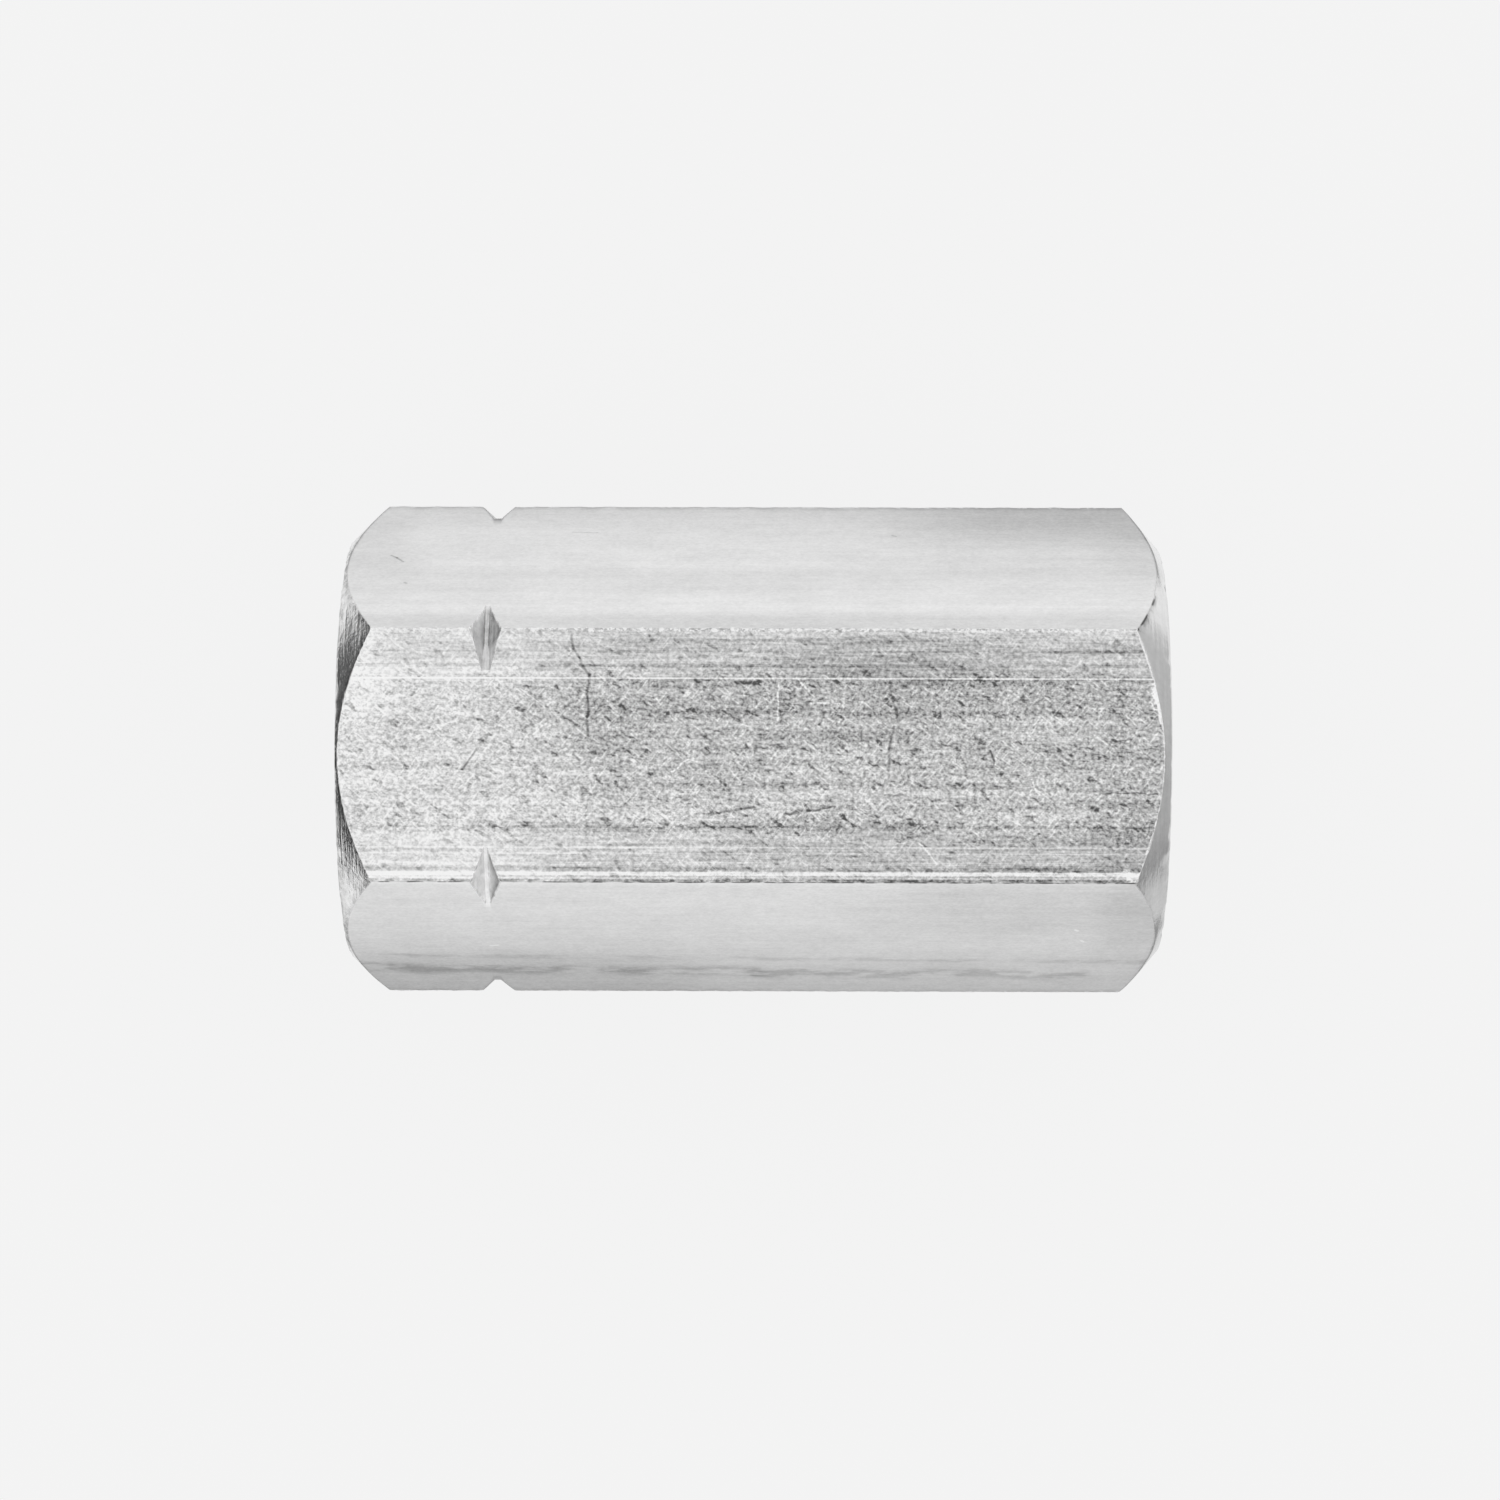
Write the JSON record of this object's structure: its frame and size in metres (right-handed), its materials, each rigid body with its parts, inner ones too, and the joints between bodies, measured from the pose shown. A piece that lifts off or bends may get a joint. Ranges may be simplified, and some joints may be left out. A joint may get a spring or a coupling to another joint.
{
  "type": "hexagon coupling nut",
  "caption": "Long hexagon coupling nut with a through thread, turned end chamfers and a V groove across the corners near one end.",
  "frame": {"origin": "the middle of the bore, on its axis and halfway between the end faces", "axes": "+X along the bore, from the grooved end to the plain end; +Z out of the upper flat, away from the flat that the nut lies on; +Y towards a corner of the hexagon"},
  "size_m": [0.036, 0.0218, 0.0188],
  "materials": {
    "bare_steel": "bright drawn steel, finely pitted and scratched along the bar, with turned ends"
  },
  "bodies": {
    "root": {"coupling_nut": "bare_steel"}
  },
  "joints": []
}
